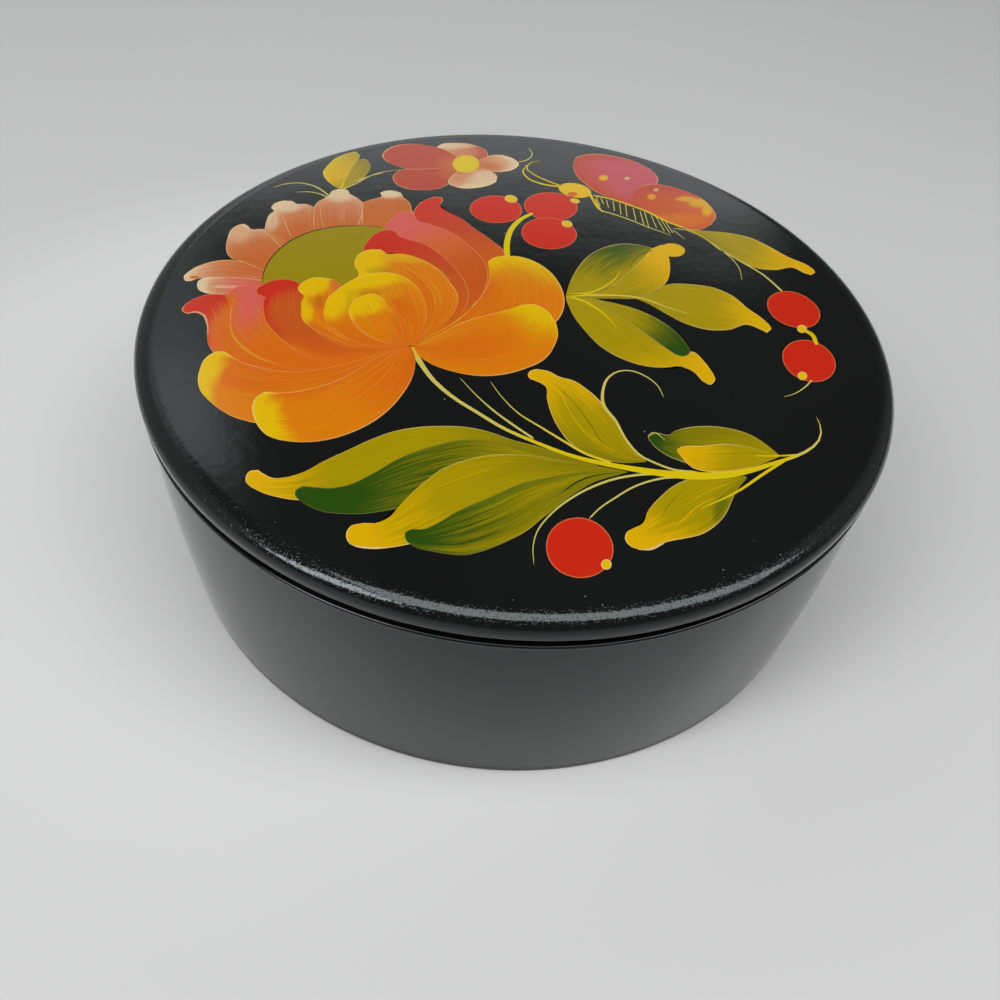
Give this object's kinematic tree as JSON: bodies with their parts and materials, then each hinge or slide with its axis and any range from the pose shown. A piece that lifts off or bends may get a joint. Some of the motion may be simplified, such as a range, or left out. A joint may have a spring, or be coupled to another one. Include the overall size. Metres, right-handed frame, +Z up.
{
  "type": "round lacquer box",
  "caption": "Round papier-mache box with a lift-off lid, black lacquer outside, red lacquer inside, painted with folk flowers, berries and leaves on the lid.",
  "frame": {"origin": "centre of the underside of the base board, on the surface that the box stands on", "axes": "+Z up along the axis of the round box; -Y is the side nearest the viewer of the painted lid"},
  "size_m": [0.16, 0.16, 0.0565],
  "materials": {
    "black_lacquer": "gloss",
    "red_lacquer": "gloss"
  },
  "bodies": {
    "box": {"base_board": "red_lacquer", "box_wall": "black_lacquer", "inner_sleeve": "red_lacquer"},
    "lid": {"lid_skirt": "black_lacquer", "lid_board": "black_lacquer"}
  },
  "joints": [
    {"name": "lid_lift", "type": "slide", "parent": "box", "child": "lid", "axis": [0, 0, 1], "range_m": [0, 0.08]}
  ]
}
